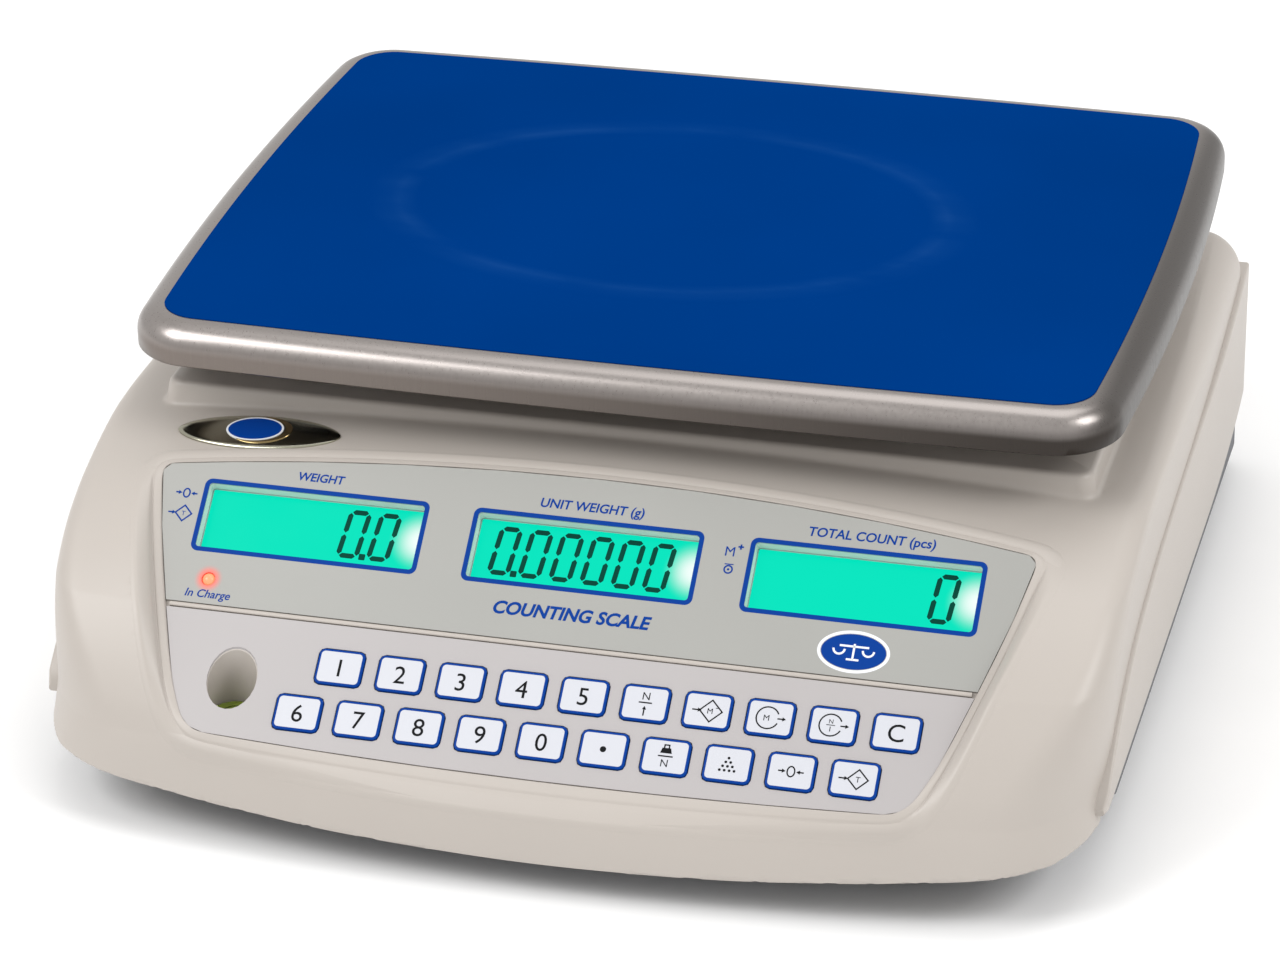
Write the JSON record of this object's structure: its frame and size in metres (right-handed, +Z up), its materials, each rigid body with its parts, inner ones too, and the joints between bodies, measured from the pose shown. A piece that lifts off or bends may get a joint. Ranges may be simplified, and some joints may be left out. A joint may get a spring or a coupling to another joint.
{
  "type": "counting scale",
  "caption": "Bench counting scale: pan on a load cell over a moulded housing, with a sloped panel of three displays and a numeric keypad.",
  "frame": {"origin": "middle of the footprint at table height", "axes": "+Z up, the keypad and displays face -Y, +X to the right of someone reading them"},
  "size_m": [0.3136, 0.32, 0.1206],
  "materials": {
    "cover": "satin moulded",
    "base": "matt moulded",
    "steel": "brushed",
    "blue_film": "satin film",
    "display_foil": "satin print",
    "key_foil": "satin print",
    "key_white": "satin print",
    "lcd": "backlit",
    "lamp": "lit",
    "vial": "clear",
    "chrome": "polished",
    "aluminium": "milled",
    "zinc": "zinc plated",
    "rubber": "matt",
    "board": "solder mask",
    "black_plastic": "satin moulded"
  },
  "bodies": {
    "housing": {"upper_housing": "cover", "lower_housing": "base", "battery_cover": "base", "display_overlay": "display_foil", "keypad_overlay": "key_foil", "lcd_weight": "lcd", "lcd_unit_weight": "lcd", "lcd_total_count": "lcd", "charge_led": "lamp", "level_vial": "vial", "badge": "chrome", "load_cell": "aluminium", "load_cell_spacer": "aluminium", "cell_bolt_fixed_1": "zinc", "cell_bolt_fixed_2": "zinc", "housing_screw_1": "zinc", "housing_screw_2": "zinc", "housing_screw_3": "zinc", "housing_screw_4": "zinc", "serial_socket": "zinc", "main_board": "board", "display_board": "board", "battery": "black_plastic", "power_inlet": "black_plastic", "switch_frame": "black_plastic"},
    "platform": {"pan_support": "aluminium", "cell_bolt_free_1": "zinc", "cell_bolt_free_2": "zinc", "support_pad_1": "rubber", "support_pad_2": "rubber", "support_pad_3": "rubber", "support_pad_4": "rubber"},
    "pan": {"weighing_pan": "steel", "pan_film": "blue_film"},
    "rocker": {"power_rocker": "black_plastic"},
    "foot_1": {"foot_1": "rubber"},
    "foot_2": {"foot_2": "rubber"},
    "foot_3": {"foot_3": "rubber"},
    "foot_4": {"foot_4": "rubber"},
    "key_1": {"key_1": "key_white"},
    "key_2": {"key_2": "key_white"},
    "key_3": {"key_3": "key_white"},
    "key_4": {"key_4": "key_white"},
    "key_5": {"key_5": "key_white"},
    "key_sample": {"key_sample": "key_white"},
    "key_memory_add": {"key_memory_add": "key_white"},
    "key_memory_recall": {"key_memory_recall": "key_white"},
    "key_sample_recall": {"key_sample_recall": "key_white"},
    "key_clear": {"key_clear": "key_white"},
    "key_6": {"key_6": "key_white"},
    "key_7": {"key_7": "key_white"},
    "key_8": {"key_8": "key_white"},
    "key_9": {"key_9": "key_white"},
    "key_0": {"key_0": "key_white"},
    "key_point": {"key_point": "key_white"},
    "key_unit_weight": {"key_unit_weight": "key_white"},
    "key_count": {"key_count": "key_white"},
    "key_zero": {"key_zero": "key_white"},
    "key_tare": {"key_tare": "key_white"}
  },
  "joints": [
    {"name": "platform_travel", "type": "slide", "parent": "housing", "child": "platform", "axis": [0, 0, 1], "range_m": [-0.0005, 0], "stiffness_N_per_m": 150000, "springref_m": 0.00015, "deforming": ["load_cell"]},
    {"name": "pan_lift", "type": "slide", "parent": "platform", "child": "pan", "axis": [0, 0, 1], "range_m": [0, 0.06]},
    {"name": "rocker_tip", "type": "hinge", "parent": "housing", "child": "rocker", "pos_m": [0.058, 0.156, 0.045], "axis": [1, 0, 0], "range_deg": [0, 14]},
    {"name": "foot_1_screw", "type": "slide", "parent": "housing", "child": "foot_1", "axis": [0, 0, 1], "range_m": [-0.008, 0]},
    {"name": "foot_2_screw", "type": "slide", "parent": "housing", "child": "foot_2", "axis": [0, 0, 1], "range_m": [-0.008, 0]},
    {"name": "foot_3_screw", "type": "slide", "parent": "housing", "child": "foot_3", "axis": [0, 0, 1], "range_m": [-0.008, 0]},
    {"name": "foot_4_screw", "type": "slide", "parent": "housing", "child": "foot_4", "axis": [0, 0, 1], "range_m": [-0.008, 0]},
    {"name": "key_1_press", "type": "slide", "parent": "housing", "child": "key_1", "axis": [0, 0.6316, -0.7753], "range_m": [0, 0.0005], "stiffness_N_per_m": 4000, "springref_m": -0.0001},
    {"name": "key_2_press", "type": "slide", "parent": "housing", "child": "key_2", "axis": [0, 0.6316, -0.7753], "range_m": [0, 0.0005], "stiffness_N_per_m": 4000, "springref_m": -0.0001},
    {"name": "key_3_press", "type": "slide", "parent": "housing", "child": "key_3", "axis": [0, 0.6316, -0.7753], "range_m": [0, 0.0005], "stiffness_N_per_m": 4000, "springref_m": -0.0001},
    {"name": "key_4_press", "type": "slide", "parent": "housing", "child": "key_4", "axis": [0, 0.6316, -0.7753], "range_m": [0, 0.0005], "stiffness_N_per_m": 4000, "springref_m": -0.0001},
    {"name": "key_5_press", "type": "slide", "parent": "housing", "child": "key_5", "axis": [0, 0.6316, -0.7753], "range_m": [0, 0.0005], "stiffness_N_per_m": 4000, "springref_m": -0.0001},
    {"name": "key_sample_press", "type": "slide", "parent": "housing", "child": "key_sample", "axis": [0, 0.6316, -0.7753], "range_m": [0, 0.0005], "stiffness_N_per_m": 4000, "springref_m": -0.0001},
    {"name": "key_memory_add_press", "type": "slide", "parent": "housing", "child": "key_memory_add", "axis": [0, 0.6316, -0.7753], "range_m": [0, 0.0005], "stiffness_N_per_m": 4000, "springref_m": -0.0001},
    {"name": "key_memory_recall_press", "type": "slide", "parent": "housing", "child": "key_memory_recall", "axis": [0, 0.6316, -0.7753], "range_m": [0, 0.0005], "stiffness_N_per_m": 4000, "springref_m": -0.0001},
    {"name": "key_sample_recall_press", "type": "slide", "parent": "housing", "child": "key_sample_recall", "axis": [0, 0.6316, -0.7753], "range_m": [0, 0.0005], "stiffness_N_per_m": 4000, "springref_m": -0.0001},
    {"name": "key_clear_press", "type": "slide", "parent": "housing", "child": "key_clear", "axis": [0, 0.6316, -0.7753], "range_m": [0, 0.0005], "stiffness_N_per_m": 4000, "springref_m": -0.0001},
    {"name": "key_6_press", "type": "slide", "parent": "housing", "child": "key_6", "axis": [0, 0.6316, -0.7753], "range_m": [0, 0.0005], "stiffness_N_per_m": 4000, "springref_m": -0.0001},
    {"name": "key_7_press", "type": "slide", "parent": "housing", "child": "key_7", "axis": [0, 0.6316, -0.7753], "range_m": [0, 0.0005], "stiffness_N_per_m": 4000, "springref_m": -0.0001},
    {"name": "key_8_press", "type": "slide", "parent": "housing", "child": "key_8", "axis": [0, 0.6316, -0.7753], "range_m": [0, 0.0005], "stiffness_N_per_m": 4000, "springref_m": -0.0001},
    {"name": "key_9_press", "type": "slide", "parent": "housing", "child": "key_9", "axis": [0, 0.6316, -0.7753], "range_m": [0, 0.0005], "stiffness_N_per_m": 4000, "springref_m": -0.0001},
    {"name": "key_0_press", "type": "slide", "parent": "housing", "child": "key_0", "axis": [0, 0.6316, -0.7753], "range_m": [0, 0.0005], "stiffness_N_per_m": 4000, "springref_m": -0.0001},
    {"name": "key_point_press", "type": "slide", "parent": "housing", "child": "key_point", "axis": [0, 0.6316, -0.7753], "range_m": [0, 0.0005], "stiffness_N_per_m": 4000, "springref_m": -0.0001},
    {"name": "key_unit_weight_press", "type": "slide", "parent": "housing", "child": "key_unit_weight", "axis": [0, 0.6316, -0.7753], "range_m": [0, 0.0005], "stiffness_N_per_m": 4000, "springref_m": -0.0001},
    {"name": "key_count_press", "type": "slide", "parent": "housing", "child": "key_count", "axis": [0, 0.6316, -0.7753], "range_m": [0, 0.0005], "stiffness_N_per_m": 4000, "springref_m": -0.0001},
    {"name": "key_zero_press", "type": "slide", "parent": "housing", "child": "key_zero", "axis": [0, 0.6316, -0.7753], "range_m": [0, 0.0005], "stiffness_N_per_m": 4000, "springref_m": -0.0001},
    {"name": "key_tare_press", "type": "slide", "parent": "housing", "child": "key_tare", "axis": [0, 0.6316, -0.7753], "range_m": [0, 0.0005], "stiffness_N_per_m": 4000, "springref_m": -0.0001}
  ]
}
